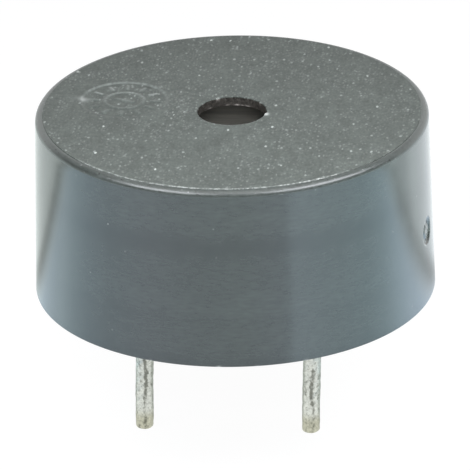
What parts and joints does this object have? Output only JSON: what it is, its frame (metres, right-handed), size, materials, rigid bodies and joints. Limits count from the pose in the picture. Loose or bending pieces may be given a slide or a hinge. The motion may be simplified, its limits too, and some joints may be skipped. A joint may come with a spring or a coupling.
{
  "type": "piezo buzzer",
  "caption": "Round pin-type piezo sounder in a drafted plastic case with a central sound hole on top and round tinned pins below.",
  "frame": {"origin": "midway between the pins, on the plane where the case stands on a circuit board", "axes": "+Z along the case's axis, up through the sound hole; +X along the line through both pins; -Y faces the picture's camera"},
  "size_m": [0.0175, 0.0174, 0.0154],
  "materials": {
    "case_plastic": "moulded dark grey plastic, polished side wall, spark-eroded fine grain on the top panel",
    "base_plastic": "moulded plastic, satin",
    "epoxy": "cured black epoxy with a glossy skin",
    "tinned_wire": "hot-dip tinned wire, dull and uneven with darker streaks",
    "brass_sheet": "rolled sheet, slightly tarnished",
    "piezo_ceramic": "fired, matte",
    "fired_silver": "screen-printed silver, satin",
    "silicone": "cured silicone, soft and translucent white",
    "solder": "solder, bright where it froze smooth",
    "copper_lead": "enamelled copper wire"
  },
  "bodies": {
    "root": {"case": "case_plastic", "base_plate": "base_plastic", "rim_seal": "epoxy", "left_pin": "tinned_wire", "right_pin": "tinned_wire", "left_pin_seal": "epoxy", "right_pin_seal": "epoxy", "diaphragm_glue": "silicone", "brass_plate": "brass_sheet", "ceramic_disc": "piezo_ceramic", "silver_electrode": "fired_silver", "brass_joint": "solder", "silver_joint": "solder", "left_pin_joint": "solder", "right_pin_joint": "solder", "brass_lead": "copper_lead", "silver_lead": "copper_lead"}
  },
  "joints": []
}
